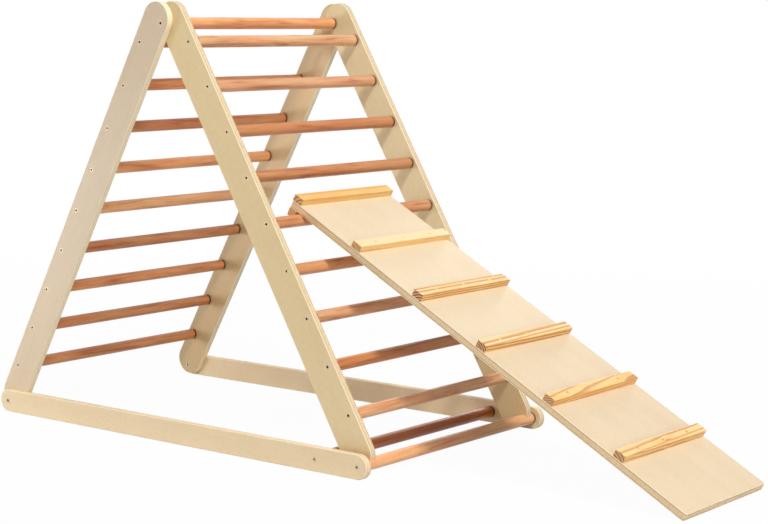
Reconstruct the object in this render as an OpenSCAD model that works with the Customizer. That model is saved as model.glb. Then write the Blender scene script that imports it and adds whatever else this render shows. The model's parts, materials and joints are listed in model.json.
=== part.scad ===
// Folding climbing triangle with a hook-on ramp.
// Two ladders hinge at the top, a base frame hinges at the rear feet, and the front feet
// stand in open notches over the base frame's front rung.
// Origin: on the floor at the middle of the footprint. X runs from the rear ladder to the
// ramp, Y runs along the rungs, Z is up. Left is the -Y side, right is the +Y side.

/* [Ladders] */
// Distance from one rung to the next
rung_spacing = 105; // [90:1:120]
// Diameter of every rung
rung_diameter = 25; // [20:0.5:32]
// Distance down the rail from the top pivot to the first rung
first_rung = 65; // [62:1:80]
// Width of a ladder rail across its faces
rail_width = 74; // [66:1:84]
// Thickness of the plywood rails and base bars
rail_thickness = 15; // [12:0.5:21]
// Distance from a rail's outer edge to its line of rungs
rung_edge = 18; // [16:0.5:24]
// Distance from a rail's inner edge to the top pivot
pivot_edge = 20; // [16:0.5:24]
// Clear width between the front rails, which is the length of a front rung
front_clear_width = 516; // [420:2:640]
// Lean of the rear ladder from upright, in degrees
rear_lean = 29.5; // [24:0.5:34]
// Lean of the front ladder from upright, in degrees
front_lean = 30.5; // [24:0.5:34]

/* [Base frame] */
// Height of a base bar standing on the floor
bar_height = 50; // [46:1:64]
// Distance down the front rail from its last rung to the notch in its foot
catch_drop = 102; // [98:1:108]
// Distance from the front rail's outer edge to the centre of the notch
catch_edge = 23; // [20:0.5:26]
// Distance between the two rungs of the base frame
base_rung_spacing = 109; // [95:1:125]
// Distance from a rear rail's centre line in to the base pivot
base_pivot_setback = 4; // [0:0.5:8]
// Height of the rounded feet above the floor
foot_clearance = 5; // [2:0.5:10]

/* [Ramp] */
// Length of the ramp board
ramp_length = 1056; // [960:2:1160]
// Width of the ramp board
ramp_width = 294; // [240:2:400]
// Thickness of the ramp board
ramp_thickness = 16.5; // [12:0.5:18]
// Sideways offset of the ramp from mid width
ramp_offset = -29; // [-60:1:60]
// Distance from one cleat to the next
cleat_spacing = 176; // [150:1:190]
// Width of a cleat along the slope
cleat_width = 24; // [18:0.5:32]
// Height of a cleat above the board
cleat_height = 14; // [10:0.5:20]
// Width of the hook batten along the slope
hook_width = 20; // [16:0.5:26]
// Depth of the hook batten under the board
hook_depth = 18; // [14:0.5:22]

/* [Hardware] */
// Diameter of the rung screws' shanks
screw_diameter = 6; // [5:0.5:7]
// Length of a rung screw
screw_length = 50; // [40:1:60]
// Diameter of the pivot bolts' shanks
bolt_diameter = 8; // [6:0.5:10]
// Diameter of the cleat screws' shanks
small_screw_diameter = 3.5; // [3:0.5:4.5]

/* [Hidden] */

// counts that the lists of nodes depend on
rungs_per_ladder = 9;
cleat_count = 6;
// the ramp hangs over this rung of the front ladder, counted from the top
hooked_rung = 5;

// named clearances, each on the radius or between two faces
face_gap = 0.5;       // between layers that fold past each other
running_gap = 0.1;    // round a bolt that something turns on
snug_gap = 0.05;      // round a screw or bolt in its own bore
seat_gap = 0.3;       // under and round a bolt head that something turns against
catch_gap = 0.5;      // between a base rung and the notch over it
hook_gap = 0.3;       // between the ramp and the rung it hangs on

edge_chamfer = 1.5;   // broken edges of the plywood strips
cleat_chamfer = 1.5;

// numbers of segments for round shapes
arc_segments = 72;
rung_segments = 48;
bolt_segments = 32;
screw_segments = 24;
small_segments = 16;

// layers outwards from mid width: front rail, rear rail, base bar
front_face = front_clear_width / 2;
rear_face = front_face + rail_thickness + face_gap;
bar_face = rear_face + rail_thickness + face_gap;

rail_radius = rail_width / 2;
rung_radius = rung_diameter / 2;
bar_radius = bar_height / 2;
notch_radius = rung_radius + catch_gap;

// outward distances from the line through the top pivot down each ladder
centre_line = rail_radius - pivot_edge;
rung_line = rail_width - pivot_edge - rung_edge;
catch_line = rail_width - pivot_edge - catch_edge;

// the notch stands on the base rung, and that sets the height of the top pivot
function rung_down(k) = first_rung + (k - 1) * rung_spacing;
catch_reach = rung_down(rungs_per_ladder) + catch_drop;
pivot_height = bar_radius + catch_reach * cos(front_lean) - catch_line * sin(front_lean);

// horizontal reach and height of a point of a ladder, given how far down the rail and how far
// outwards from the line through the pivot it lies
function reach(down, out, lean) = down * sin(lean) + out * cos(lean);
function height(down, out, lean) = pivot_height - down * cos(lean) + out * sin(lean);

// how far down a rail a point lies that has a given height
function down_to(level, out, lean) = (pivot_height + out * sin(lean) - level) / cos(lean);
function foot_down(lean) = down_to(foot_clearance + rail_radius, centre_line, lean);
base_pivot_line = centre_line - base_pivot_setback;
base_pivot_down = down_to(bar_radius, base_pivot_line, rear_lean);

// the ramp leans from the hooked rung to the floor; its own frame has x down the slope and z
// square to the board, with the origin on the rung's axis
board_lift = rung_radius + hook_gap;
board_top = board_lift + ramp_thickness;
ramp_overhang = board_lift + hook_width;
ramp_run = ramp_length - ramp_overhang;
hook_height = height(rung_down(hooked_rung), rung_line, front_lean);
ramp_slope = asin(hook_height / sqrt(ramp_run * ramp_run + board_lift * board_lift))
  + atan(board_lift / ramp_run);

// the top pivot stands where the whole footprint is centred on the origin
rear_reach = max(reach(foot_down(rear_lean), centre_line, rear_lean) + rail_radius,
  reach(base_pivot_down, base_pivot_line, rear_lean) + bar_radius);
ramp_reach = reach(rung_down(hooked_rung), rung_line, front_lean)
  + ramp_run * cos(ramp_slope) + board_top * sin(ramp_slope);
top_pivot = [(rear_reach - ramp_reach) / 2, pivot_height];

// points of the ladders as [x, z]
function rear_point(down, out) = [top_pivot.x - reach(down, out, rear_lean),
  height(down, out, rear_lean)];
function front_point(down, out) = [top_pivot.x + reach(down, out, front_lean),
  height(down, out, front_lean)];
function rear_rung_point(k) = rear_point(rung_down(k), rung_line);
function front_rung_point(k) = front_point(rung_down(k), rung_line);
base_pivot = rear_point(base_pivot_down, base_pivot_line);
catch_point = front_point(catch_reach, catch_line);
back_rung_point = [catch_point.x - base_rung_spacing, catch_point.y];

// screw and bolt sizes
screw_head = 1.7 * screw_diameter;
head_rim = 1;         // straight edge of a countersunk head
screw_head_height = (screw_head - screw_diameter) / 2 + head_rim;
screw_socket = 4;
bolt_head = 1.625 * bolt_diameter;
bolt_head_height = 3;
bolt_socket = 5;
socket_depth = 2.5;
bolt_tip_setback = 3; // from the base pivot bolt's tip to the rear rail's inner face
pivot_bolt_length = 75;
insert_wall = 2;      // of the sleeve round the base pivot bolt
insert_diameter = bolt_diameter + 2 * insert_wall;
insert_cover = 2;     // plywood left between the sleeve and the base bar
insert_length = rail_thickness - insert_cover;
small_head = 2 * small_screw_diameter;
small_tip = 2;
bore_spare = 1;       // depth of a blind bore past the tip of its screw
overcut = 1;          // how far a cut runs past the face that it opens

// cleats and screws of the ramp
hook_point = front_rung_point(hooked_rung);
cleat_screw_edge = 58;
hook_screw_edge = 30;
cleat_screw_rows = [-ramp_width / 2 + cleat_screw_edge, 0, ramp_width / 2 - cleat_screw_edge];
hook_screw_rows = [for (k = [0 : 3]) -ramp_width / 2 + hook_screw_edge
  + k * (ramp_width - 2 * hook_screw_edge) / 3];
cleat_screw_length = cleat_height + 0.7 * ramp_thickness;
hook_screw_length = hook_depth + 0.6 * ramp_thickness;

module plywood() color([0.93, 0.84, 0.68]) children();
module hardwood() color([0.72, 0.42, 0.25]) children();
module pine() color([0.95, 0.78, 0.50]) children();
module steel() color([0.74, 0.74, 0.76]) children();

// side is 1 for the right and -1 for the left
module on_side(side) mirror([0, side < 0 ? 1 : 0, 0]) children();

// round bar along Y through a point, from y for a length
module along_y(point, y, length, diameter, segments)
  translate([point.x, y, point.y]) rotate([-90, 0, 0])
    cylinder(d = diameter, h = length, $fn = segments);

// bore along Y through the whole strip whose inner face is at y
module through_y(point, y, diameter, segments)
  along_y(point, y - overcut, rail_thickness + 2 * overcut, diameter, segments);

// half-round end of a strip with broken edges, turned to face the way the strip ends
module strip_end(radius, turn) rotate([-90, 0, 0]) rotate([0, 0, turn])
  rotate_extrude(angle = 180, $fn = arc_segments) polygon([[0, 0], [radius - edge_chamfer, 0],
    [radius, edge_chamfer], [radius, rail_thickness - edge_chamfer],
    [radius - edge_chamfer, rail_thickness], [0, rail_thickness]]);

// straight part of a strip with broken edges, between the centres of its rounded ends
module strip_middle(length, radius) rotate([90, 0, 90]) linear_extrude(length)
  polygon([[0, edge_chamfer - radius], [0, radius - edge_chamfer], [edge_chamfer, radius],
    [rail_thickness - edge_chamfer, radius], [rail_thickness, radius - edge_chamfer],
    [rail_thickness, edge_chamfer - radius], [rail_thickness - edge_chamfer, -radius],
    [edge_chamfer, -radius]]);

// plywood strip from one point to another, with its inner face at y
module strip(from, to, radius, y) translate([from.x, y, from.y])
  rotate([0, atan2(from.y - to.y, to.x - from.x), 0]) {
    strip_middle(norm(to - from), radius);
    strip_end(radius, 90);
    translate([norm(to - from), 0, 0]) strip_end(radius, -90);
  }

// countersunk bore through a strip for a rung screw, head on the outer face
module screw_bore(point, y) translate([point.x, y, point.y]) rotate([-90, 0, 0])
  rotate_extrude($fn = screw_segments) polygon([[0, -overcut],
    [screw_diameter / 2 + snug_gap, -overcut],
    [screw_diameter / 2 + snug_gap, rail_thickness - screw_head_height],
    [screw_head / 2 + snug_gap, rail_thickness - head_rim],
    [screw_head / 2 + snug_gap, rail_thickness + overcut],
    [0, rail_thickness + overcut]]);

// running bore and head pocket through a strip that turns on a bolt
module bolt_bore(point, y) {
  through_y(point, y, bolt_diameter + 2 * running_gap, bolt_segments);
  along_y(point, y + rail_thickness - bolt_head_height - seat_gap, rail_thickness,
    bolt_head + 2 * seat_gap, bolt_segments);
}

// six-sided socket sunk from z = 0
module hex_socket(across) translate([0, 0, -socket_depth])
  cylinder(d = across, h = socket_depth + overcut, $fn = 6);

// socket-head countersunk screw, tip towards mid width, head on the face at y
module rung_screw(point, y) translate([point.x, y, point.y]) rotate([-90, 0, 0])
  difference() {
    rotate_extrude($fn = screw_segments) polygon([[0, -screw_length],
      [screw_diameter / 4, -screw_length],
      [screw_diameter / 2, -screw_length + screw_diameter / 2],
      [screw_diameter / 2, -screw_head_height],
      [screw_head / 2, -head_rim], [screw_head / 2, 0], [0, 0]]);
    hex_socket(screw_socket);
  }

// flat-head socket bolt, tip towards mid width, head flush with the face at y
module pivot_bolt(point, y, length) translate([point.x, y, point.y]) rotate([-90, 0, 0])
  difference() {
    union() {
      translate([0, 0, -bolt_head_height])
        cylinder(d = bolt_head, h = bolt_head_height, $fn = bolt_segments);
      translate([0, 0, -length])
        cylinder(d = bolt_diameter, h = length - bolt_head_height / 2, $fn = bolt_segments);
    }
    hex_socket(bolt_socket);
  }

// rung between two faces at y and -y, with a blind pilot bore in each end
module rung(point, half_length, depth, bore) difference() {
  along_y(point, -half_length, 2 * half_length, rung_diameter, rung_segments);
  for (side = [1, -1]) on_side(side)
    along_y(point, half_length - depth, depth + overcut, bore, screw_segments);
}

pilot_depth = screw_length - rail_thickness + bore_spare;
pilot_bore = screw_diameter + 2 * snug_gap;

module rear_rung(k) hardwood()
  rung(rear_rung_point(k), rear_face, pilot_depth, pilot_bore);
module front_rung(k) hardwood()
  rung(front_rung_point(k), front_face, pilot_depth, pilot_bore);
module base_rung(point) hardwood()
  rung(point, bar_face, pilot_depth, pilot_bore);

module pivot_rung() hardwood() rung(top_pivot, front_face,
  pivot_bolt_length - 2 * rail_thickness - face_gap + bore_spare, bolt_diameter + 2 * snug_gap);

// rear rail: middle layer, turns on the pivot bolt and holds the base pivot's insert
module rear_rail(side) plywood() on_side(side) difference() {
  strip(rear_point(0, centre_line), rear_point(foot_down(rear_lean), centre_line),
    rail_radius, rear_face);
  for (k = [1 : rungs_per_ladder]) screw_bore(rear_rung_point(k), rear_face);
  bolt_bore(top_pivot, rear_face);
  through_y(base_pivot, rear_face, bolt_diameter + 2 * running_gap, bolt_segments);
  along_y(base_pivot, rear_face - overcut, insert_length + overcut,
    insert_diameter + 2 * snug_gap, bolt_segments);
}

// front rail: inner layer, fixed to the pivot rung, with an open notch in its foot
module front_rail(side) plywood() on_side(side) difference() {
  strip(front_point(0, centre_line), front_point(foot_down(front_lean), centre_line),
    rail_radius, front_face);
  for (k = [1 : rungs_per_ladder]) screw_bore(front_rung_point(k), front_face);
  through_y(top_pivot, front_face, bolt_diameter + 2 * snug_gap, bolt_segments);
  catch_notch();
}

// round seat over the base rung, open straight down to the floor
module catch_notch() {
  through_y(catch_point, front_face, 2 * notch_radius, arc_segments);
  translate([catch_point.x - notch_radius, front_face - overcut, catch_point.y - bar_height])
    cube([2 * notch_radius, rail_thickness + 2 * overcut, bar_height]);
}

// base bar: outer layer, turns on the base pivot bolt
module base_bar(side) plywood() on_side(side) difference() {
  strip(base_pivot, catch_point, bar_radius, bar_face);
  bolt_bore(base_pivot, bar_face);
  for (point = [catch_point, back_rung_point]) screw_bore(point, bar_face);
}

module pivot_bolts() steel() for (side = [1, -1]) on_side(side)
  pivot_bolt(top_pivot, rear_face + rail_thickness, pivot_bolt_length);

module base_pivot_bolts() steel() for (side = [1, -1]) on_side(side)
  pivot_bolt(base_pivot, bar_face + rail_thickness,
    2 * rail_thickness + face_gap - bolt_tip_setback);

// flanged sleeve pressed into the rear rail from its inner face
module base_pivot_inserts() steel() for (side = [1, -1]) on_side(side) difference() {
  along_y(base_pivot, rear_face, insert_length, insert_diameter, bolt_segments);
  through_y(base_pivot, rear_face, bolt_diameter + 2 * snug_gap, bolt_segments);
}

module screws_at(points, y) steel() for (side = [1, -1]) on_side(side)
  for (point = points) rung_screw(point, y);

module rear_rung_screws()
  screws_at([for (k = [1 : rungs_per_ladder]) rear_rung_point(k)], rear_face + rail_thickness);
module front_rung_screws()
  screws_at([for (k = [1 : rungs_per_ladder]) front_rung_point(k)], front_face + rail_thickness);
module base_rung_screws()
  screws_at([catch_point, back_rung_point], bar_face + rail_thickness);

module in_ramp() translate([hook_point.x, ramp_offset, hook_point.y]) rotate([0, ramp_slope, 0])
  children();

function cleat_x(k) = -ramp_overhang + (k - 1) * cleat_spacing + cleat_width / 2;
hook_x = -ramp_overhang + hook_width / 2;

// bore or shank of a small countersunk screw, head up at z = 0
module small_screw(length, gap) rotate_extrude($fn = small_segments) polygon([[0, -length],
  [small_screw_diameter / 2 + gap, -length + (gap > 0 ? 0 : small_tip)],
  [small_screw_diameter / 2 + gap, -(small_head - small_screw_diameter) / 2],
  [small_head / 2 + gap, 0], [small_head / 2 + gap, gap], [0, gap]]);

module cleat_screw_set(x, gap) for (y = cleat_screw_rows)
  translate([x, y, board_top + cleat_height]) small_screw(cleat_screw_length + gap, gap);
module hook_screw_set(gap) for (y = hook_screw_rows)
  translate([hook_x, y, board_lift - hook_depth]) rotate([180, 0, 0])
    small_screw(hook_screw_length + gap, gap);

module ramp_board() plywood() in_ramp() difference() {
  translate([-ramp_overhang, -ramp_width / 2, board_lift])
    cube([ramp_length, ramp_width, ramp_thickness]);
  for (k = [1 : cleat_count]) cleat_screw_set(cleat_x(k), snug_gap);
  hook_screw_set(snug_gap);
}

module ramp_cleat(k) pine() in_ramp() difference() {
  translate([cleat_x(k), ramp_width / 2, board_top]) rotate([90, 0, 0])
    linear_extrude(ramp_width) polygon([[-cleat_width / 2, 0], [cleat_width / 2, 0],
      [cleat_width / 2, cleat_height - cleat_chamfer],
      [cleat_width / 2 - cleat_chamfer, cleat_height],
      [-cleat_width / 2 + cleat_chamfer, cleat_height],
      [-cleat_width / 2, cleat_height - cleat_chamfer]]);
  cleat_screw_set(cleat_x(k), snug_gap);
}

module ramp_hook() pine() in_ramp() difference() {
  translate([-ramp_overhang, -ramp_width / 2, board_lift - hook_depth])
    cube([hook_width, ramp_width, hook_depth]);
  hook_screw_set(snug_gap);
}

module cleat_screws() steel() in_ramp()
  for (k = [1 : cleat_count]) cleat_screw_set(cleat_x(k), 0);
module hook_screws() steel() in_ramp() hook_screw_set(0);

rear_rail(-1);  // rear_rail_left
rear_rail(1);  // rear_rail_right
front_rail(-1);  // front_rail_left
front_rail(1);  // front_rail_right
base_bar(-1);  // base_bar_left
base_bar(1);  // base_bar_right
pivot_rung();
rear_rung(1);  // rear_rung_1
rear_rung(2);  // rear_rung_2
rear_rung(3);  // rear_rung_3
rear_rung(4);  // rear_rung_4
rear_rung(5);  // rear_rung_5
rear_rung(6);  // rear_rung_6
rear_rung(7);  // rear_rung_7
rear_rung(8);  // rear_rung_8
rear_rung(9);  // rear_rung_9
front_rung(1);  // front_rung_1
front_rung(2);  // front_rung_2
front_rung(3);  // front_rung_3
front_rung(4);  // front_rung_4
front_rung(5);  // front_rung_5
front_rung(6);  // front_rung_6
front_rung(7);  // front_rung_7
front_rung(8);  // front_rung_8
front_rung(9);  // front_rung_9
base_rung(catch_point);  // base_front_rung
base_rung(back_rung_point);  // base_back_rung
pivot_bolts();
base_pivot_bolts();
base_pivot_inserts();
rear_rung_screws();
front_rung_screws();
base_rung_screws();
ramp_board();
ramp_cleat(1);  // ramp_cleat_1
ramp_cleat(2);  // ramp_cleat_2
ramp_cleat(3);  // ramp_cleat_3
ramp_cleat(4);  // ramp_cleat_4
ramp_cleat(5);  // ramp_cleat_5
ramp_cleat(6);  // ramp_cleat_6
ramp_hook();
cleat_screws();
hook_screws();
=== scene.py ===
import json
import math

import bmesh
import bpy
from mathutils import Matrix, Vector

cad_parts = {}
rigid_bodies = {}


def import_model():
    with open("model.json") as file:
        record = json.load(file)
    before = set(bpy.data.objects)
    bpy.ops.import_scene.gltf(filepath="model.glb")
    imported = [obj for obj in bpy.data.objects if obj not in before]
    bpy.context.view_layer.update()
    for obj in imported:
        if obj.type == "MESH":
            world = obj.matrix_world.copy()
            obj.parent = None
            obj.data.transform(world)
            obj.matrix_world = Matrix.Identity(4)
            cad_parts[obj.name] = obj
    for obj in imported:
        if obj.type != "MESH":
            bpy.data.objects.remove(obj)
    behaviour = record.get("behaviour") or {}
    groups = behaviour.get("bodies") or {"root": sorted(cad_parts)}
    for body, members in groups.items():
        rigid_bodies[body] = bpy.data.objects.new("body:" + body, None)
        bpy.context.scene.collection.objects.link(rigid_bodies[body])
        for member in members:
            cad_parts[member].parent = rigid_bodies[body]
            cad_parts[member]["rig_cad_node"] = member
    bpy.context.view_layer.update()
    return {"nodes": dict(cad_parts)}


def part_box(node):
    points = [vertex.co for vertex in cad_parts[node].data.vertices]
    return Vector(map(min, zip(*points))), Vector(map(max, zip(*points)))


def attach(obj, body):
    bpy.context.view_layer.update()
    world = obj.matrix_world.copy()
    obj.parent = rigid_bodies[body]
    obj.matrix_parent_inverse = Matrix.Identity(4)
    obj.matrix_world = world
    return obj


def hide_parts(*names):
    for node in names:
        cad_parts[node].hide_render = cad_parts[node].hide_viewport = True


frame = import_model()
nodes = frame["nodes"]
mm = 0.001
print("frame loaded:", len(nodes), "nodes")

# camera at the photograph's angle, with no shift
camera = {
    "azimuth": 38.9994,
    "elevation": 7.2007,
    "place": (2.464454, -3.007824, 0.870061),
    "lens": 87.360,
    "sensor": 36,
    "far": 60,
}


def addCamera(c):
    bpy.ops.object.camera_add(location=c["place"])
    eye = bpy.context.object
    eye.name = "photoCamera"
    turn, rise = math.radians(c["azimuth"]), math.radians(c["elevation"])
    flat = math.cos(rise)
    back = Vector((math.sin(turn) * flat, -math.cos(turn) * flat, math.sin(rise)))
    eye.rotation_mode = "QUATERNION"
    eye.rotation_quaternion = (-back).to_track_quat("-Z", "Y")
    eye.data.lens, eye.data.sensor_width, eye.data.clip_end = c["lens"], c["sensor"], c["far"]
    bpy.context.scene.camera = eye


bpy.ops.object.select_all(action="DESELECT")
addCamera(camera)
bpy.context.scene.view_settings.view_transform = "Standard"
print("camera set")


# an output of a node, which can stand in a sum
class Wire:
    def __init__(self, finish, socket):
        self.finish, self.socket = finish, socket

    def __add__(self, other):
        return self.finish.maths("ADD", self, other)

    def __sub__(self, other):
        return self.finish.maths("SUBTRACT", self, other)

    def __rsub__(self, other):
        return self.finish.maths("SUBTRACT", other, self)

    def __mul__(self, other):
        return self.finish.maths("MULTIPLY", self, other)

    def __truediv__(self, other):
        return self.finish.maths("DIVIDE", self, other)

    def __mod__(self, other):
        return self.finish.maths("MODULO", self, other)

    def __pow__(self, other):
        return self.finish.maths("POWER", self, other)

    def __abs__(self):
        return self.finish.maths("ABSOLUTE", self)

    __radd__ = __add__
    __rmul__ = __mul__


# a material or the world while its nodes are laid out
class Finish:
    def __init__(self, name="", tree=None):
        self.material = None
        if tree is None:
            self.material = bpy.data.materials.new(name)
            self.material.use_nodes = True
            tree = self.material.node_tree
        self.tree = tree
        tree.nodes.clear()

    # settings are set first, then each socket takes a value or a wire
    def node(self, kind, settings=None, sockets=None, out=0):
        made = self.tree.nodes.new(kind)
        for key, value in (settings or {}).items():
            if key == "stops":
                self.setStops(made.color_ramp, value)
            else:
                setattr(made, key, value)
        for key, value in (sockets or {}).items():
            if isinstance(value, Wire):
                self.tree.links.new(value.socket, made.inputs[key])
            else:
                made.inputs[key].default_value = value
        return Wire(self, made.outputs[out]) if made.outputs else made

    def setStops(self, ramp, stops):
        while len(ramp.elements) < len(stops):
            ramp.elements.new(1)
        for element, (place, colour) in zip(ramp.elements, stops):
            element.position, element.color = place, colour

    def maths(self, operation, *values):
        return self.node("ShaderNodeMath", {"operation": operation}, dict(enumerate(values)))

    def parts(self, vector):
        split = self.node("ShaderNodeSeparateXYZ", None, {0: vector}).socket.node
        return [Wire(self, socket) for socket in split.outputs]

    def vector(self, x, y, z):
        return self.node("ShaderNodeCombineXYZ", None, {0: x, 1: y, 2: z})

    def stretch(self, vector, by):
        return self.node("ShaderNodeVectorMath", {"operation": "MULTIPLY"}, {0: vector, 1: by})

    def noise(self, at, scale, detail=2, rough=0.5, warp=0):
        return self.node("ShaderNodeTexNoise", None, {
            "Vector": self.stretch(at, scale), "Scale": 1, "Detail": detail,
            "Roughness": rough, "Distortion": warp})

    # 0 at low and 1 at high, or the other way round
    def step(self, value, low, high):
        return self.node("ShaderNodeMapRange", {"interpolation_type": "SMOOTHSTEP"}, {
            "Value": value, "From Min": low, "From Max": high})

    def mix(self, factor, a, b, way="MIX"):
        return self.node("ShaderNodeMix", {"data_type": "RGBA", "blend_type": way},
                         {0: factor, 6: a, 7: b}, 2)

    def ramp(self, value, *stops):
        return self.node("ShaderNodeValToRGB", {"stops": stops}, {0: value})

    # coordinates in a frame of their own, turned about Y
    def local(self, place, turn):
        at = self.node("ShaderNodeTexCoord", None, None, "Object")
        return self.node("ShaderNodeMapping", {"vector_type": "TEXTURE"},
                         {"Vector": at, "Location": place, "Rotation": (0, turn, 0)})

    def bump(self, relief, depth):
        return self.node("ShaderNodeBump", None, {
            "Height": relief, "Strength": 1, "Distance": depth})

    def wood(self, colour, rough, relief, oil):
        shader = self.node("ShaderNodeBsdfPrincipled", None, {
            "Base Color": colour, "Roughness": rough, "Normal": self.bump(relief, oil["relief"]),
            "Coat Weight": oil["coat"], "Coat Roughness": oil["coatRough"], "IOR": oil["ior"]})
        return self.close(shader)

    def close(self, shader, kind="ShaderNodeOutputMaterial"):
        self.node(kind, None, {0: shader})
        return self.material


# a colour, red, green and blue from 0 to 255
def tint(*rgb):
    linear = [c / 255 / 12.92 if c < 11 else ((c / 255 + 0.055) / 1.055) ** 2.4 for c in rgb]
    return (*linear, 1)


# plain studio: soft lamps, white room, pale floor
studio = {
    "room": 0.22,
    "lamps": [
        {"name": "keyLamp", "place": (3.6, -1.8, 6.1), "size": 1.4, "power": 376},
        {"name": "fillLamp", "place": (-2.6, -5.2, 0.6), "size": 1.6, "power": 21},
        {"name": "sideLamp", "place": (4.2, -1.4, 0.55), "size": 1.2, "power": 30},
        {"name": "footLamp", "place": (-2.2, -1.6, 0.3), "size": 0.5, "power": 12},
        {"name": "backLamp", "place": (-2, 5, 1.6), "size": 1.6, "power": 110},
    ],
    "aim": (0.1, 0, 0.35),
    "floorColour": tint(214, 214, 213),
    "floorWhite": 0.97,
    "fade": (1.4, 4.5),
    "floorSize": 60,
}


def addStudio(s):
    for lamp in s["lamps"]:
        bpy.ops.object.light_add(type="AREA", location=lamp["place"])
        made = bpy.context.object
        made.name = lamp["name"]
        made.data.energy, made.data.size = lamp["power"], lamp["size"]
        towards = Vector(s["aim"]) - Vector(lamp["place"])
        made.rotation_mode = "QUATERNION"
        made.rotation_quaternion = towards.to_track_quat("-Z", "Y")
    world = bpy.data.worlds.new("room")
    world.use_nodes = True
    bpy.context.scene.world = world
    room = Finish(tree=world.node_tree)
    plain = room.node("ShaderNodeBackground", None, {0: (1, 1, 1, 1), 1: s["room"]})
    white = room.node("ShaderNodeBackground", None, {0: (1, 1, 1, 1), 1: 1})
    room.close(room.node("ShaderNodeMixShader", None, {0: seenDirectly(room), 1: plain, 2: white}),
               "ShaderNodeOutputWorld")
    bpy.ops.mesh.primitive_plane_add(size=s["floorSize"])
    floor = bpy.context.object
    floor.name = "paleFloor"
    f = Finish("paleFloor")
    matt = f.node("ShaderNodeBsdfDiffuse", None, {"Color": s["floorColour"]})
    glow = f.node("ShaderNodeEmission", None, {"Color": (1, 1, 1, 1), "Strength": 1})
    # the floor near the object keeps its shadow, and farther off it runs into the white
    x, y = f.parts(f.node("ShaderNodeTexCoord", None, None, "Object"))[:2]
    away = f.step((x * x + y * y) ** 0.5, *s["fade"])
    share = seenDirectly(f) * (s["floorWhite"] + away * (1 - s["floorWhite"]))
    blend = f.node("ShaderNodeMixShader", None, {0: share, 1: matt, 2: glow})
    floor.data.materials.append(f.close(blend))


# 1 where the camera sees the surface, also in metal or through glass
def seenDirectly(f):
    rays = f.node("ShaderNodeLightPath").socket.node.outputs
    direct, glossy, clear = [Wire(f, rays["Is %s Ray" % kind])
                             for kind in ("Camera", "Glossy", "Transmission")]
    return f.maths("MAXIMUM", f.maths("MAXIMUM", direct, glossy), clear)


addStudio(studio)
print("studio lit")

# the object's own lines, as the record and the CAD boxes give them
ladder = {
    "pivot": (-330.641 * mm, 0, 876.927 * mm),
    "rearLean": 29.5,
    "frontLean": 30.5,
    "rungRadius": 12.5 * mm,
    "frontFace": 258 * mm,
    "rearFace": 273.5 * mm,
    "barFace": 289 * mm,
    "thickness": 15 * mm,
}
slope = {
    "place": (-53.466 * mm, -29 * mm, 477.308 * mm),
    "angle": 28.5208,
    "top": 43.3 * mm,
    "boardUnder": 12.8 * mm,
    "boardTop": 29.3 * mm,
    "start": -32.8 * mm,
    "length": 1056 * mm,
    "halfWidth": 147 * mm,
    "cleatSpacing": 176 * mm,
}
turnRear = math.radians(90 + ladder["rearLean"])
turnFront = math.radians(90 - ladder["frontLean"])
turnRamp = math.radians(slope["angle"])
slopeFrame = Matrix.Translation(slope["place"]) @ Matrix.Rotation(turnRamp, 4, "Y")

# birch plywood with a clear matt oil; a grain is a noise with its scale along, across and
# through the board, a step is where a pattern starts and ends, and a share is how much it
# colours the wood
ply = {
    "layers": 7,
    "veneer": tint(240, 222, 192),
    "veneerDark": tint(234, 214, 182),
    "fibre": tint(212, 186, 147),
    "fleck": tint(150, 116, 76),
    "longPly": tint(250, 233, 202),
    "crossPly": tint(236, 213, 176),
    "crossDark": tint(206, 178, 136),
    "underPly": tint(196, 160, 116),
    "glue": tint(158, 124, 84),
    "rough": (0.46, 0.62),
    "insideRough": 0.12,
    "coat": 0.12,
    "coatRough": 0.35,
    "ior": 1.45,
    "relief": 0.00012,
    "fibreRelief": 0.2,
    "poreRelief": 0.25,
    "insideRelief": 0.3,
    "flameGrain": {"scale": (2.2, 26, 1), "detail": 3, "rough": 0.55, "warp": 0.8},
    "cloudGrain": {"scale": (7, 16, 1.7)},
    "mottleGrain": {"scale": (90, 160, 2), "detail": 3, "rough": 0.6},
    "figureShares": (0.25, 0.3, 0.45),
    "figureStep": (0.36, 0.66),
    "fibreGrain": {"scale": (16, 900, 3), "detail": 4, "rough": 0.62},
    "fibreStep": (0.42, 0.75),
    "fibreShare": 0.13,
    "poreGrain": {"scale": (95, 1300, 5), "rough": 0.6},
    "poreStep": (0.63, 0.72),
    "poreShare": 0.16,
    "fleckGrain": {"scale": (150, 330, 7), "detail": 1},
    "fleckStep": (0.73, 0.78),
    "fleckShare": 0.25,
    "rimStep": (0.05, 0.2),
    "acrossScale": 0.2,
    "crossStep": (0.4, 0.6),
    "longGrain": {"scale": (30, 1800, 30), "detail": 3, "rough": 0.6},
    "longStep": (0.35, 0.8),
    "longShare": 0.4,
    "openGrain": {"scale": (900, 1400, 200), "detail": 3, "rough": 0.65},
    "openStep": (0.3, 0.75),
    "openShare": 0.6,
    "beadGrain": {"scale": (240, 500, 60)},
    "beadStep": (0.42, 0.6),
    "beadShare": 0.4,
    "underStep": (1.35, 1.55),
    "underShare": 0.6,
    "glueStep": (0.09, 0.03),
    "glueShare": 0.5,
    "insideStep": (0.75, 0.95),
}
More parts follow.
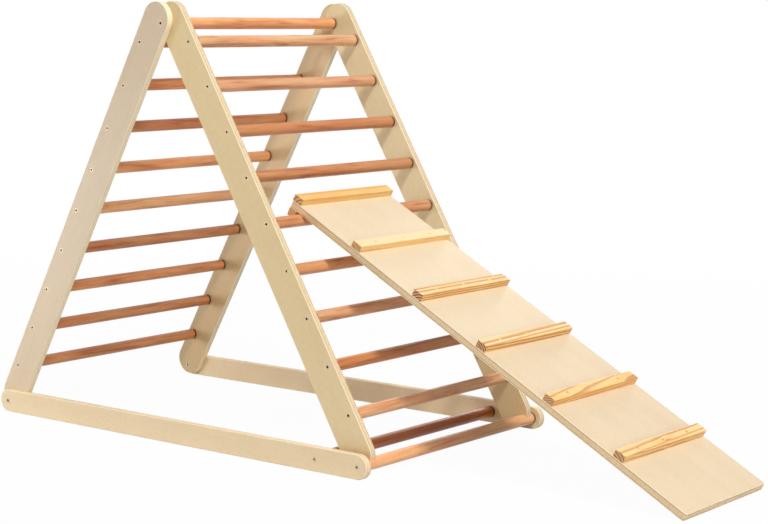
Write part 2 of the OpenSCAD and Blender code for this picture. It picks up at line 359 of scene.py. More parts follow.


# through is "side" where the plies lie along Y, and "flat" on the ramp; the board's tone, which
# also carries painted light and shade, goes from upper to lower over its span, and bold is how
# much its inner plies differ
def plywood(name, place, turn, face, through, look):
    f = Finish(name)
    x, y, z = f.parts(f.local(place, turn))
    onSide = through == "side"
    depth = (abs(y) if onSide else z) - face
    across = z if onSide else y
    thickness = ladder["thickness"] if onSide else slope["boardTop"] - slope["boardUnder"]
    level = depth / thickness * ply["layers"]
    veneerAt = f.vector(x, across, look["seed"])
    flame = f.noise(veneerAt, **ply["flameGrain"])
    cloud = f.noise(veneerAt, **ply["cloudGrain"])
    mottle = f.noise(veneerAt, **ply["mottleGrain"])
    fibre = f.noise(veneerAt, **ply["fibreGrain"])
    pores = f.step(f.noise(veneerAt, **ply["poreGrain"]), *ply["poreStep"])
    flecks = f.step(f.noise(veneerAt, **ply["fleckGrain"]), *ply["fleckStep"])
    figure = total(ply["figureShares"], (flame, cloud, mottle))
    veneer = f.mix(f.step(figure, *ply["figureStep"]), ply["veneer"], ply["veneerDark"])
    veneer = f.mix(f.step(fibre, *ply["fibreStep"]) * ply["fibreShare"], veneer, ply["fibre"])
    veneer = f.mix(pores * ply["poreShare"], veneer, ply["fibre"])
    veneer = f.mix(flecks * ply["fleckShare"], veneer, ply["fleck"])
    # the tone along the board, which paints light and shade as well as the wood's own colour
    tone = f.mix(f.step(x, *look["span"]), look["upper"], look["lower"])
    veneer = f.mix(1, veneer, tone, "MULTIPLY")
    # the sides of the face plies are paler than the faces; where the look's rim goes above 1, on
    # the rear rails and the ramp, it paints light onto those edges
    rim = inwards(f, level, ply["rimStep"])
    veneer = f.mix(rim, veneer, f.mix(1, ply["longPly"], look["rim"], "MULTIPLY"))
    # inner plies show at the edges: long grain light, cross grain darker with open ends
    count = f.maths("FLOOR", level)
    cross = f.step(abs(count % 2), *ply["crossStep"])
    grainAt = f.vector(x, depth, across * ply["acrossScale"])
    longGrain = f.noise(grainAt, **ply["longGrain"])
    openEnds = f.noise(grainAt, **ply["openGrain"])
    longPly = f.mix(f.step(longGrain, *ply["longStep"]) * ply["longShare"],
                    ply["longPly"], ply["crossPly"])
    crossPly = f.mix(f.step(openEnds, *ply["openStep"]) * ply["openShare"],
                     ply["crossPly"], ply["crossDark"])
    core = f.mix(cross * look["bold"], longPly, crossPly)
    beads = f.step(f.noise(grainAt, **ply["beadGrain"]), *ply["beadStep"])
    core = f.mix(beads * ply["beadShare"] * look["bold"], core, ply["crossDark"])
    # the plies next to the faces are darker
    fromMiddle = abs(level - ply["layers"] / 2)
    core = f.mix(f.step(fromMiddle, *ply["underStep"]) * ply["underShare"] * look["bold"],
                 core, ply["underPly"])
    seam = abs((level + 0.5) % 1 - 0.5)
    glue = f.step(seam, *ply["glueStep"])
    core = f.mix(glue * ply["glueShare"] * look["bold"], core, ply["glue"])
    core = f.mix(1, core, look["core"], "MULTIPLY")
    inside = inwards(f, level, ply["insideStep"])
    colour = f.mix(inside, veneer, core)
    rough = between(ply["rough"], fibre) + inside * ply["insideRough"]
    relief = fibre * ply["fibreRelief"] - pores * ply["poreRelief"] \
        + inside * (openEnds * cross - glue) * ply["insideRelief"]
    return f.wood(colour, rough, relief, ply)


# 1 between the two faces of the board, from a step inside each
def inwards(f, level, step):
    return f.step(level, *step) * f.step(level, *[ply["layers"] - edge for edge in step])


def between(ends, share):
    return ends[0] + share * (ends[1] - ends[0])


def total(shares, patterns):
    first, *rest = [pattern * share for share, pattern in zip(shares, patterns)]
    return sum(rest, first)


# turned dowels of a reddish brown hardwood, each in the tone of its own stock; the darker stocks
# on the rear rungs also paint the shade they stand in
dowelWood = {
    "light": tint(243, 185, 137),
    "middle": tint(232, 166, 116),
    "dark": tint(206, 132, 86),
    "streak": tint(160, 94, 56),
    "pore": tint(140, 82, 52),
    "red": (1.02, 0.88, 0.82, 1),
    "tan": (0.96, 1.05, 1, 1),
    # painted shade where the rung meets the rail, over the length ring at each end
    "jointShade": (0.2, 0.15, 0.11, 1),
    "ring": 8 * mm,
    "jointShadeFull": 0.6,
    "rough": (0.4, 0.58),
    "coat": 0.18,
    "coatRough": 0.3,
    "ior": 1.45,
    "relief": 0.0001,
    "lineRelief": 0.6,
    "patchGrain": {"scale": (24, 5.5, 24), "rough": 0.55, "warp": 0.5},
    "blushGrain": {"scale": (31, 7, 37), "rough": 0.6, "warp": 0.6},
    "bandGrain": {"scale": (95, 7, 95), "warp": 0.6},
    "lineGrain": {"scale": (420, 9, 420), "detail": 3, "rough": 0.55, "warp": 0.2},
    "figureShares": (0.45, 0.2, 0.35),
    "stops": (0.36, 0.5, 0.64),
    "redStep": (0.52, 0.7),
    "tanStep": (0.46, 0.3),
    "streakStep": (0.58, 0.72),
    "streakShare": 0.45,
    "poreGrain": {"scale": (1500, 55, 1500), "rough": 0.6},
    "poreStep": (0.6, 0.7),
    "poreShare": 0.25,
}
dowelStockAndShade = {
    "cream": (1, 1.1, 1.15, 1),
    "coral": (1.22, 1.15, 0.98, 1),
    "peach": (1.06, 1.12, 1.08, 1),
    "rose": (0.89, 0.92, 0.95, 1),
    "honey": (1.06, 1.02, 0.88, 1),
    "ginger": (0.91, 0.88, 0.8, 1),
    "amber": (0.9, 0.78, 0.64, 1),
    "copper": (0.8, 0.65, 0.52, 1),
    "auburn": (0.73, 0.58, 0.44, 1),
    "golden": (0.72, 0.58, 0.38, 1),
    "russet": (0.73, 0.62, 0.49, 1),
    "umber": (0.6, 0.46, 0.31, 1),
    "tawny": (0.56, 0.34, 0.1, 1),
}


def hardwood(name, half, stock):
    f = Finish(name)
    wood = dowelWood
    at = f.node("ShaderNodeTexCoord", None, None, "Object")
    along = f.parts(at)[1]
    patches = f.noise(at, **wood["patchGrain"])
    blush = f.noise(at, **wood["blushGrain"])
    bands = f.noise(at, **wood["bandGrain"])
    lines = f.noise(at, **wood["lineGrain"])
    pores = f.step(f.noise(at, **wood["poreGrain"]), *wood["poreStep"])
    figure = total(wood["figureShares"], (bands, lines, patches))
    colour = f.ramp(figure, *zip(wood["stops"], (wood["light"], wood["middle"], wood["dark"])))
    for tone in ("red", "tan"):
        toned = f.mix(1, colour, wood[tone], "MULTIPLY")
        colour = f.mix(f.step(blush, *wood[tone + "Step"]), colour, toned)
    colour = f.mix(f.step(bands, *wood["streakStep"]) * wood["streakShare"], colour,
                   wood["streak"])
    colour = f.mix(pores * wood["poreShare"], colour, wood["pore"])
    colour = f.mix(1, colour, dowelStockAndShade[stock], "MULTIPLY")
    # painted shade: each rung darkens over its last few millimetres, where it meets the rail
    jointShadeMask = f.step(abs(along), half - wood["ring"], half - wood["ring"] * wood["jointShadeFull"])
    colour = f.mix(jointShadeMask, colour, f.mix(1, colour, wood["jointShade"], "MULTIPLY"))
    relief = lines * wood["lineRelief"] - pores
    return f.wood(colour, between(wood["rough"], lines), relief, wood)


# planed pine battens: growth rings about a pith outside each batten
pineWood = {
    "early": tint(255, 218, 152),
    "middle": tint(251, 204, 134),
    "late": tint(196, 130, 62),
    "endEarly": tint(226, 174, 118),
    "endLate": tint(128, 70, 34),
    "cream": tint(252, 226, 184),
    "creamDepth": (1.2 * mm, 0.3 * mm),
    "endDepth": (0.4 * mm, 0.1 * mm),
    "rough": (0.4, 0.55),
    "endRough": 0.2,
    "coat": 0.16,
    "coatRough": 0.3,
    "ior": 1.45,
    "relief": 0.0001,
    "reliefShares": (0.5, 0.5),
    "wanderGrain": {"scale": (9, 3.4, 9)},
    "rippleGrain": {"scale": (60, 14, 60)},
    "ripple": 2.5 * mm,
    "knotAcross": 1.6,
    "knotStep": (30 * mm, 2 * mm),
    "knotRings": 1.7,
    "lateEnd": (1, 0.92),
    "fibreGrain": {"scale": (900, 14, 900), "detail": 3, "rough": 0.6},
    "fibreStep": (0.5, 0.8),
    "fibreShare": 0.12,
    "blushGrain": {"scale": (30, 8, 30)},
    "blushStep": (0.35, 0.65),
    "endStep": (0.45, 0.6),
}


# the grain's knot is the place along the batten that the rings bend round, or None
def pine(name, middle, level, grain):
    f = Finish(name)
    wood = pineWood
    x, y, z = f.parts(f.local(tuple(slopeFrame @ Vector((middle, 0, level))), turnRamp))
    seed = grain["seed"]
    wander = f.noise(f.vector(x, y, z + seed), **wood["wanderGrain"]) - 0.5
    ripple = f.noise(f.vector(x, y, z - seed), **wood["rippleGrain"]) - 0.5
    away = x - grain["pith"][0] + y * grain["drift"][0] + wander * grain["wander"]
    below = z - grain["pith"][1] + y * grain["drift"][1] + ripple * wood["ripple"]
    rings = (away * away + below * below) ** 0.5 / grain["ring"]
    if grain["knot"] is not None:
        off = f.vector(x * wood["knotAcross"], y - grain["knot"], z * wood["knotAcross"])
        near = f.node("ShaderNodeVectorMath", {"operation": "LENGTH"}, {0: off}, 1)
        rings = rings + f.step(near, *wood["knotStep"]) * wood["knotRings"]
    phase = rings % 1
    lateBand = f.step(phase, *grain["band"]) * f.step(phase, *wood["lateEnd"])
    fibre = f.noise(f.vector(x, y, z), **wood["fibreGrain"])
    blush = f.noise(f.vector(x, y, z + seed), **wood["blushGrain"])
    colour = f.mix(f.step(blush, *wood["blushStep"]), wood["early"], wood["middle"])
    colour = f.mix(lateBand * grain["bold"], colour, wood["late"])
    colour = f.mix(f.step(fibre, *wood["fibreStep"]) * wood["fibreShare"], colour, wood["late"])
    onTop = f.step(z, *[batten["height"] - depth for depth in wood["creamDepth"]])
    colour = f.mix(onTop * grain["cream"], colour, wood["cream"])
    colour = f.mix(1, colour, grain["tone"], "MULTIPLY")
    # the rings show darker on the ends
    endPhase = rings * grain["endRings"] % 1
    ends = f.mix(f.step(endPhase, *wood["endStep"]) * grain["endBold"], wood["endEarly"],
                 wood["endLate"])
    atEnd = f.step(abs(y), *[slope["halfWidth"] - depth for depth in wood["endDepth"]])
    colour = f.mix(atEnd, colour, ends)
    rough = between(wood["rough"], fibre) + atEnd * wood["endRough"]
    relief = total(wood["reliefShares"], (lateBand, fibre))
    return f.wood(colour, rough, relief, wood)


# zinc-plated steel, dull, and the painted shade inside its sockets and recesses; each finish has
# two colours that cloud into each other, how metallic it is, and how much it shines
zinc = {
    "cloudGrain": {"scale": (420, 420, 420), "detail": 3, "rough": 0.6},
    "cloudStep": (0.35, 0.7),
    "scratchGrain": {"scale": (2600, 2600, 700), "rough": 0.6},
    "scratchDepth": 0.00002,
    "rough": (0.34, 0.59),
}
zincKinds = {
    "dullZinc": (tint(232, 212, 180), tint(188, 166, 132), 0.35, 0.5),
    "yellowedZinc": (tint(232, 186, 122), tint(196, 150, 92), 0.6, 0.5),
    "socketShadow": (tint(22, 19, 16), tint(44, 38, 32), 0, 0.05),
    "recessShadow": (tint(166, 116, 66), tint(130, 88, 48), 0.3, 0.5),
    "paleZinc": (tint(252, 208, 138), tint(240, 194, 124), 0.1, 0.5),
    "paleRecessShadow": (tint(240, 194, 124), tint(224, 176, 108), 0, 0.2),
}


def steel(name, clean, dull, metal, gloss):
    f = Finish(name)
    at = f.node("ShaderNodeTexCoord", None, None, "Object")
    cloud = f.noise(at, **zinc["cloudGrain"])
    scratch = f.noise(at, **zinc["scratchGrain"])
    shader = f.node("ShaderNodeBsdfPrincipled", None, {
        "Base Color": f.mix(f.step(cloud, *zinc["cloudStep"]), clean, dull),
        "Metallic": metal, "Roughness": between(zinc["rough"], cloud),
        "Normal": f.bump(scratch, zinc["scratchDepth"]), "Specular IOR Level": gloss})
    return f.close(shader)


steelFinish = {name: steel(name, *kind) for name, kind in zincKinds.items()}
print("steel mixed")

# slack for picking faces and edges by their place and direction
hair = 0.01 * mm
nearlyAlong = 0.99
# how edges are softened, and which of them are shaded round
softEdge = {"steps": 2, "corner": 50, "round": 30, "weight": 100}


# modelling by hand: everything is deselected first
def alone(piece):
    if bpy.context.object and bpy.context.object.mode != "OBJECT":
        bpy.ops.object.mode_set(mode="OBJECT")
    bpy.ops.object.select_all(action="DESELECT")
    if piece:
        piece.select_set(True)
        bpy.context.view_layer.objects.active = piece


def primitive(kind, name, scale=None, **settings):
    alone(None)
    getattr(bpy.ops.mesh, "primitive_%s_add" % kind)(**settings)
    piece = bpy.context.object
    piece.name = piece.data.name = name
    if scale:
        piece.scale = scale
    bpy.ops.object.transform_apply(location=True, rotation=True, scale=True)
    return piece


# edit mode with those faces or edges selected that pass the test, which is given a face's
# middle and normal, or an edge's two ends
def edit(piece, kind, test):
    alone(piece)
    bpy.ops.object.mode_set(mode="EDIT")
    bpy.ops.mesh.select_mode(type=kind)
    bpy.ops.mesh.select_all(action="DESELECT")
    shape = bmesh.from_edit_mesh(piece.data)
    for part in shape.faces if kind == "FACE" else shape.edges:
        if kind == "FACE":
            chosen = test(part.calc_center_median(), part.normal)
        else:
            chosen = test(*[v.co for v in part.verts])
        part.select_set(chosen)
    shape.select_flush_mode()
    bmesh.update_edit_mesh(piece.data)


def facing(axis, way):
    return lambda middle, normal: normal[axis] * way > nearlyAlong


def leaveEdit():
    bpy.ops.object.mode_set(mode="OBJECT")


def extrude(*by):
    bpy.ops.mesh.extrude_region_move(TRANSFORM_OT_translate={"value": by})


# draws the selected face in towards the Z axis
def shrink(by):
    bpy.ops.transform.resize(value=(by, by, 1), center_override=(0, 0, 0))


def modify(piece, kind, **settings):
    alone(piece)
    made = piece.modifiers.new(kind.lower(), kind)
    for key, value in settings.items():
        setattr(made, key, value)
    bpy.ops.object.modifier_apply(modifier=made.name)


def cut(piece, tool):
    modify(piece, "BOOLEAN", operation="DIFFERENCE", object=tool, solver="EXACT")


def drop(tool):
    bpy.data.objects.remove(tool)


def easeEdges(piece, width, corner=softEdge["corner"]):
    modify(piece, "BEVEL", width=width, segments=softEdge["steps"], limit_method="ANGLE",
           angle_limit=math.radians(corner))


# flat faces keep their own normal, so only the eased edges are shaded round
def smooth(piece, angle=softEdge["round"]):
    alone(piece)
    bpy.ops.object.shade_smooth_by_angle(angle=math.radians(angle))
    modify(piece, "WEIGHTED_NORMAL", weight=softEdge["weight"], keep_sharp=True)


# a copy with its own mesh, set down by a matrix
def copyTo(piece, name, place):
    alone(piece)
    bpy.ops.object.duplicate()
    made = bpy.context.object
    made.name = made.data.name = name
    made.matrix_world = place
    bpy.ops.object.transform_apply(location=True, rotation=True, scale=True)
    return made


def joined(pieces, name):
    alone(pieces[0])
    for piece in pieces:
        piece.select_set(True)
    if len(pieces) > 1:
        bpy.ops.object.join()
    made = bpy.context.object
    made.name = made.data.name = name
    return made


def settle(piece, body, replaced, slot, *finishes):
    if finishes:
        piece.data.materials.clear()
        for finish in finishes:
            piece.data.materials.append(finish)
    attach(piece, body)
    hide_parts(replaced)


def middleOf(node):
    low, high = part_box(node)
    return (low + high) / 2


# rails and base bars: the CAD shape merged, with its broken edges softened
strips = {
    # the rear rails' rim above 1 and their low bold, with plainer plies, paint light onto their
    # edges, which face down into shade
    "rearRail": {"body": "rear_ladder", "node": "rear_rail", "turn": turnRear,
                 "face": "rearFace", "rim": (1.04, 1.07, 1.06, 1), "bold": 0.12},
    "frontRail": {"body": "front_ladder", "node": "front_rail", "turn": turnFront,
                  "face": "frontFace", "rim": (1, 0.99, 0.95, 1), "bold": 1},
    "baseBar": {"body": "base_frame", "node": "base_bar", "turn": 0,
                "face": "barFace", "rim": (1, 0.98, 0.93, 1), "bold": 0.5},
}
stripEdge = {"merge": 0.01 * mm, "flat": 0.5, "soften": 0.5 * mm, "corner": 30}
# each board's tone at its upper and lower end, and where along it the tone changes; these tones
# also paint light and shade: the near boards grow lighter towards the floor, the far ones darker
# towards their shaded feet, and the base bars are lit up beyond their own colour
stripToneAndShade = {
    "rearRailLeft": {"upper": (0.85, 0.81, 0.79, 1), "lower": (0.93, 0.89, 0.86, 1),
                     "span": (0.25, 0.9), "seed": 34.1},
    "rearRailRight": {"upper": (0.95, 0.86, 0.68, 1), "lower": (0.8, 0.7, 0.52, 1),
                      "span": (0.22, 0.65), "seed": 37.2},
    "frontRailLeft": {"upper": (0.96, 0.88, 0.66, 1), "lower": (1.01, 0.95, 0.77, 1),
                      "span": (0.6, 0.95), "seed": 40.3},
    "frontRailRight": {"upper": (0.99, 0.98, 0.82, 1), "lower": (0.77, 0.68, 0.5, 1),
                       "span": (0.65, 0.85), "seed": 43.4},
    "baseBarLeft": {"upper": (1.1, 1.05, 0.93, 1), "lower": (1.1, 1.05, 0.93, 1),
                    "span": (0, 1), "seed": 46.5},
    "baseBarRight": {"upper": (1.05, 1, 0.91, 1), "lower": (1.05, 1, 0.91, 1),
                     "span": (0, 1), "seed": 49.6},
}


def makeStrips():
    for kind, s in strips.items():
        for side in ("Left", "Right"):
            name = kind + side
            node = s["node"] + "_" + side.lower()
            alone(nodes[node])
            bpy.ops.object.duplicate()
            piece = bpy.context.object
            piece.name = piece.data.name = name
            del piece["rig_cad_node"]
            edit(piece, "FACE", lambda middle, normal: True)
            bpy.ops.mesh.remove_doubles(threshold=stripEdge["merge"])
            bpy.ops.mesh.dissolve_limited(angle_limit=math.radians(stripEdge["flat"]))
            leaveEdit()
            bpy.ops.mesh.customdata_custom_splitnormals_clear()
            easeEdges(piece, stripEdge["soften"], stripEdge["corner"])
            smooth(piece)
            place = ladder["pivot"] if s["turn"] else (0, 0, 0)
            look = {"rim": s["rim"], "core": s["rim"], "bold": s["bold"], **stripToneAndShade[name]}
            finish = plywood("plywood" + name[0].upper() + name[1:], place, s["turn"],
                             ladder[s["face"]], "side", look)
            settle(piece, s["body"], node, "plywood", finish)


makeStrips()
print("rails and bars dressed")

# rungs: turned dowels with eased rims and a pilot bore in each end
dowel = {"sides": 64, "easedRim": 1.2 * mm, "rimSteps": 3, "shadeRound": 25}
rungKinds = {
    "rearRung": {"body": "rear_ladder", "half": ladder["rearFace"],
                 "bore": 3.05 * mm, "depth": 36 * mm,
                 "nodes": ["rear_rung_%d" % k for k in range(1, 10)],
                 # the rear rungs' darker stocks paint part of the shade they sit in
                 "stock": ["umber", "coral", "copper", "honey", "peach", "russet", "amber",
                           "russet", "russet"]},
    "frontRung": {"body": "front_ladder", "half": ladder["frontFace"],
                  "bore": 3.05 * mm, "depth": 36 * mm,
                  "nodes": ["front_rung_%d" % k for k in range(1, 10)],
                  "stock": ["cream", "rose", "auburn", "russet", "ginger", "ginger", "rose",
                            "golden", "cream"]},
    "pivotRung": {"body": "front_ladder", "half": ladder["frontFace"],
                  "bore": 4.05 * mm, "depth": 45.5 * mm,
                  "nodes": ["pivot_rung"], "stock": ["honey"]},
    "baseRung": {"body": "base_frame", "half": ladder["barFace"],
                 "bore": 3.05 * mm, "depth": 36 * mm,
                 "nodes": ["base_front_rung", "base_back_rung"], "stock": ["peach", "tawny"]},
}


def turnDowel(name, half, bore, depth):
    radius = ladder["rungRadius"]
    piece = primitive("cylinder", name, vertices=dowel["sides"], radius=radius,
                      depth=2 * half, end_fill_type="NGON", rotation=(math.pi / 2, 0, 0))
    inner = half - hair
    edit(piece, "EDGE", lambda a, b: min(abs(a.y), abs(b.y)) > inner and a.y * b.y > 0)
    bpy.ops.mesh.bevel(offset=dowel["easedRim"], segments=dowel["rimSteps"], affect="EDGES")
    for side in (1, -1):
        edit(piece, "FACE", facing(1, side))
        bpy.ops.mesh.inset(thickness=radius - dowel["easedRim"] - bore)
        extrude(0, -side * depth, 0)
    leaveEdit()
    smooth(piece, dowel["shadeRound"])
    return piece


def makeRungs():
    for kind, r in rungKinds.items():
        pattern = turnDowel("dowelPattern", r["half"], r["bore"], r["depth"])
        finishes = {stock: hardwood(kind + stock.title(), r["half"], stock)
                    for stock in sorted(set(r["stock"]))}
        for k, (node, stock) in enumerate(zip(r["nodes"], r["stock"])):
            number = str(k + 1) if len(r["nodes"]) > 1 else ""
            rung = copyTo(pattern, kind + number, Matrix.Translation(middleOf(node)))
            settle(rung, r["body"], node, "hardwood", finishes[stock])
        drop(pattern)


makeRungs()
print("rungs turned")

# socket screws and bolts, modelled along Z with the head's face at 0
rungScrew = {"sides": 32, "head": 5.1 * mm, "rim": 1 * mm, "cone": 2.1 * mm,
             "shank": 3 * mm, "length": 50 * mm, "tip": 1.5 * mm, "tipTaper": 1.5 * mm,
             "socket": 2.9 * mm, "socketDepth": 2.5 * mm, "soften": 0.25 * mm}
baseScrew = {**rungScrew, "socket": 2.3 * mm}
pivotBolt = {"sides": 32, "head": 6.5 * mm, "rim": 3 * mm, "cone": 0,
             "shank": 4 * mm, "length": 75 * mm, "tip": 3.2 * mm, "tipTaper": 0.8 * mm,
             "socket": 3.3 * mm, "socketDepth": 2.5 * mm, "soften": 0.4 * mm}
basePivotBolt = {**pivotBolt, "length": 27.5 * mm}


def turnScrew(name, s):
    piece = primitive("cylinder", name, vertices=s["sides"], radius=s["head"], depth=s["rim"],
                      end_fill_type="NGON", location=(0, 0, -s["rim"] / 2))
    edit(piece, "FACE", facing(2, -1))
    if s["cone"]:
        extrude(0, 0, -s["cone"])
        shrink(s["shank"] / s["head"])
    else:
        bpy.ops.mesh.inset(thickness=s["head"] - s["shank"])
    extrude(0, 0, s["rim"] + s["cone"] + s["tipTaper"] - s["length"])
    extrude(0, 0, -s["tipTaper"])
    shrink(s["tip"] / s["shank"])
    rim = s["head"] - hair
    edit(piece, "EDGE", lambda a, b: min(a.z, b.z) > -hair and a.xy.length > rim)
    bpy.ops.mesh.bevel(offset=s["soften"], segments=softEdge["steps"], affect="EDGES")
    leaveEdit()
    tool = primitive("cylinder", "hexTool", vertices=6, radius=s["socket"],
                     depth=2 * s["socketDepth"], end_fill_type="NGON")
    cut(piece, tool)
    drop(tool)
    return piece


# the socket's walls and floor take the second finish, its painted shade
def darkenSocket(piece, reach, depth, *finishes):
    for name in finishes:
        piece.data.materials.append(steelFinish[name])
    for face in piece.data.polygons:
        middle = face.center
        inside = middle.xy.length < reach + hair and -depth - hair < middle.z < -hair
        face.material_index = 1 if inside else 0


def sideFrame(point, y):
    turn = -math.pi / 2 if y > 0 else math.pi / 2
    return Matrix.Translation((point.x, y, point.z)) @ Matrix.Rotation(turn, 4, "X")


fixings = [
    {"name": "rearRungScrews", "node": "rear_rung_screws", "body": "rear_ladder",
     "kind": rungScrew, "at": rungKinds["rearRung"]["nodes"], "face": "rearFace"},
    {"name": "frontRungScrews", "node": "front_rung_screws", "body": "front_ladder",
     "kind": rungScrew, "at": rungKinds["frontRung"]["nodes"], "face": "frontFace"},
    {"name": "baseRungScrews", "node": "base_rung_screws", "body": "base_frame",
     "kind": baseScrew, "at": rungKinds["baseRung"]["nodes"], "face": "barFace"},
    {"name": "pivotBolts", "node": "pivot_bolts", "body": "front_ladder",
     "kind": pivotBolt, "at": ["pivot_rung"], "face": "rearFace"},
    {"name": "basePivotBolts", "node": "base_pivot_bolts", "body": "rear_ladder",
     "kind": basePivotBolt, "at": ["base_pivot_inserts"], "face": "barFace"},
]


def makeFixings():
    for fixing in fixings:
        kind = fixing["kind"]
        pattern = turnScrew("screwPattern", kind)
        smooth(pattern)
        darkenSocket(pattern, kind["socket"], kind["socketDepth"], "dullZinc", "socketShadow")
        outside = ladder[fixing["face"]] + ladder["thickness"]
        places = [sideFrame(middleOf(node), side * outside)
                  for node in fixing["at"] for side in (-1, 1)]
        copies = [copyTo(pattern, "copy", place) for place in places]
        drop(pattern)
        settle(joined(copies, fixing["name"]), fixing["body"], fixing["node"], "steel")


makeFixings()
print("screws and bolts set")

# small countersunk screws with a cross recess, head up at 0
smallScrew = {"sides": 24, "head": 3.5 * mm, "shank": 1.75 * mm, "cone": 1.75 * mm,
              "tip": 2 * mm, "tipShare": 0.15, "slot": 0.6 * mm, "slotLength": 3 * mm,
              "slotDepth": 1 * mm, "play": 0.05 * mm, "mouth": 1 * mm}
cleatScrew = {**smallScrew, "length": 25.55 * mm, "rows": (-89 * mm, 0, 89 * mm)}
hookScrew = {**smallScrew, "length": 27.9 * mm,
             "rows": (-117 * mm, -39 * mm, 39 * mm, 117 * mm)}
paleCleats = 4  # counted from the top; their screws hardly show against the wood


def turnSmallScrew(name, s):
    piece = primitive("cone", name, vertices=s["sides"], radius1=s["shank"],
                      radius2=s["head"], depth=s["cone"], end_fill_type="NGON",
                      location=(0, 0, -s["cone"] / 2))
    edit(piece, "FACE", facing(2, -1))
    extrude(0, 0, s["cone"] + s["tip"] - s["length"])
    extrude(0, 0, -s["tip"])
    shrink(s["tipShare"])
    leaveEdit()
    for turn in (0, math.pi / 2):
        tool = primitive("cube", "slotTool", (s["slotLength"], s["slot"], 2 * s["slotDepth"]),
                         size=1, rotation=(0, 0, turn))
        cut(piece, tool)
        drop(tool)
    smooth(piece)
    darkenSocket(piece, s["slotLength"] / 2, s["slotDepth"], "yellowedZinc", "recessShadow")
    return piece


def makeSmallScrews():
    allCleats = range(len(cleatGrain))
    cleatPlaces = [place for k in allCleats for place in cleatScrewPlaces(cleatX(k))]
    for name, node, kind, places in (
            ("cleatScrews", "cleat_screws", cleatScrew, cleatPlaces),
            ("hookScrews", "hook_screws", hookScrew, hookScrewPlaces())):
        pattern = turnSmallScrew("smallPattern", kind)
        copies = [copyTo(pattern, "copy", slopeFrame @ place) for place in places]
        drop(pattern)
        pale = paleCleats * len(kind["rows"]) if kind is cleatScrew else 0
        for screw in copies[:pale]:
            for k, finish in enumerate(("paleZinc", "paleRecessShadow")):
                screw.data.materials[k] = steelFinish[finish]
        settle(joined(copies, name), "ramp", node, "steel")


def cleatX(k):
    return slope["start"] + batten["width"] / 2 + k * slope["cleatSpacing"]


def cleatScrewPlaces(x):
    return [Matrix.Translation((x, y, slope["top"])) for y in cleatScrew["rows"]]


def hookScrewPlaces():
    over = Matrix.Rotation(math.pi, 4, "X")
    return [Matrix.Translation((batten["hookX"], y, batten["hookUnder"])) @ over
            for y in hookScrew["rows"]]


# ramp: board with eased edges, six pine cleats and the hook batten under its upper end
board = {
    "corner": 3 * mm,
    "cornerSteps": 5,
    "ease": 1.5 * mm,
    # the rim above 1 paints a highlight along the board's eased edges
    "look": {"upper": (0.97, 0.95, 0.9, 1), "lower": (0.9, 0.86, 0.8, 1),
             "span": (0.25, 0.65), "rim": (1.04, 1.05, 1.05, 1),
             "core": (1.04, 0.96, 0.84, 1), "bold": 0.8, "seed": 40},
}
batten = {
    "width": 24 * mm,
    "height": 14 * mm,
    "topEdge": 0.9 * mm,
    "topSteps": 3,
    "ease": 0.4 * mm,
    "hookWidth": 20 * mm,
    "hookX": -22.8 * mm,
    "hookUnder": -5.2 * mm,
}
plainGrain = {"drift": (0.01, 0.006), "ring": 7 * mm, "wander": 6 * mm, "bold": 0.7,
              "band": (0.5, 0.88), "cream": 0, "tone": (0.97, 0.93, 0.85, 1), "knot": None,
              "endRings": 1, "endBold": 1}
ringedGrain = {**plainGrain, "band": (0.3, 0.75), "tone": (1, 0.96, 0.88, 1)}
cleatGrain = [
    {**plainGrain, "pith": (0.03, -0.02), "ring": 13 * mm, "bold": 0.3,
     "tone": (0.96, 0.88, 0.72, 1), "endRings": 1.6, "endBold": 0.6, "seed": 1.3},
    {**plainGrain, "pith": (-0.02, -0.03), "ring": 15 * mm, "bold": 0.4, "cream": 0.9,
     "tone": (1, 0.93, 0.82, 1), "endRings": 1.6, "endBold": 0.25, "seed": 4.1},
    {**ringedGrain, "pith": (0.02, -0.022), "ring": 5.4 * mm, "bold": 0.9, "seed": 7.7},
    {**ringedGrain, "pith": (-0.016, -0.018), "ring": 5.1 * mm, "bold": 0.95, "seed": 11.2},
    {**plainGrain, "pith": (0.014, -0.03), "ring": 6.8 * mm, "drift": (0.05, -0.03),
     "wander": 16 * mm, "bold": 0.85, "tone": (0.98, 0.87, 0.7, 1), "endRings": 1.6,
     "endBold": 0.7, "seed": 15.9},
    {**plainGrain, "pith": (-0.02, -0.026), "ring": 6.2 * mm, "wander": 10 * mm,
     "bold": 0.8, "knot": 12 * mm, "endBold": 0.75, "seed": 19.4},
]
hookGrain = {**plainGrain, "pith": (0.02, 0.05), "tone": (0.9, 0.78, 0.62, 1),
             "endBold": 0.45, "seed": 23.6}


def box(name, low, high):
    size = [b - a for a, b in zip(low, high)]
    middle = [(a + b) / 2 for a, b in zip(low, high)]
    return primitive("cube", name, size, size=1, location=middle)


# bores and countersinks, a little wider than the screws
def countersink(piece, kind, places):
    play = kind["play"]
    for place in places:
        tool = primitive("cone", "sinkTool", vertices=kind["sides"],
                         radius1=kind["shank"] + play, radius2=kind["head"] + play,
                         depth=kind["cone"], end_fill_type="NGON",
                         location=(0, 0, -kind["cone"] / 2))
        edit(tool, "FACE", facing(2, -1))
        extrude(0, 0, kind["cone"] - kind["length"] - play)
        edit(tool, "FACE", facing(2, 1))
        extrude(0, 0, kind["mouth"])
        leaveEdit()
        tool.matrix_world = place
        cut(piece, tool)
        drop(tool)


def toSlope(piece):
    piece.matrix_world = slopeFrame
    alone(piece)
    bpy.ops.object.transform_apply(location=True, rotation=True, scale=True)
    return piece


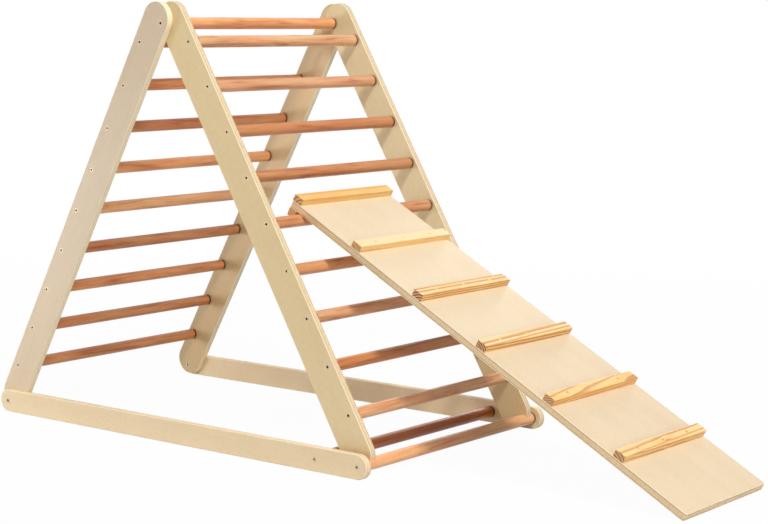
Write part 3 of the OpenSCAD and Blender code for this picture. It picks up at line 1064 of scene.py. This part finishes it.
def makeBoard():
    end, half = slope["start"] + slope["length"], slope["halfWidth"]
    piece = box("rampBoard", (slope["start"], -half, slope["boardUnder"]),
                (end, half, slope["boardTop"]))
    edit(piece, "EDGE", lambda a, b: abs(a.x - b.x) + abs(a.y - b.y) < hair)
    bpy.ops.mesh.bevel(offset=board["corner"], segments=board["cornerSteps"], affect="EDGES")
    leaveEdit()
    easeEdges(piece, board["ease"])
    smooth(piece)
    finish = plywood("plywoodRamp", slope["place"], turnRamp, slope["boardUnder"], "flat",
                     board["look"])
    settle(toSlope(piece), "ramp", "ramp_board", "plywood", finish)


def makeCleats():
    half, under, top = slope["halfWidth"], slope["boardTop"], slope["top"]
    for k, grain in enumerate(cleatGrain):
        x, reach = cleatX(k), batten["width"] / 2
        piece = box("rampCleat%d" % (k + 1), (x - reach, -half, under), (x + reach, half, top))
        edit(piece, "EDGE",
             lambda a, b: min(a.z, b.z) > top - hair and abs(a.x - b.x) < hair)
        bpy.ops.mesh.bevel(offset=batten["topEdge"], segments=batten["topSteps"],
                           affect="EDGES")
        leaveEdit()
        easeEdges(piece, batten["ease"])
        countersink(piece, cleatScrew, cleatScrewPlaces(x))
        smooth(piece)
        finish = pine("pineCleat%d" % (k + 1), x, under, grain)
        settle(toSlope(piece), "ramp", "ramp_cleat_%d" % (k + 1), "pine", finish)


def makeHook():
    half = slope["halfWidth"]
    piece = box("rampHook", (slope["start"], -half, batten["hookUnder"]),
                (slope["start"] + batten["hookWidth"], half, slope["boardUnder"]))
    easeEdges(piece, batten["ease"])
    countersink(piece, hookScrew, hookScrewPlaces())
    smooth(piece)
    finish = pine("pineHook", batten["hookX"], batten["hookUnder"], hookGrain)
    settle(toSlope(piece), "ramp", "ramp_hook", "pine", finish)


makeBoard()
makeCleats()
makeHook()
makeSmallScrews()
print("ramp built")

# the sleeves of the base pivots stay as they are, and only take their finish
alone(None)
sleeves = nodes["base_pivot_inserts"]
sleeves.data.materials.clear()
sleeves.data.materials.append(steelFinish["dullZinc"])
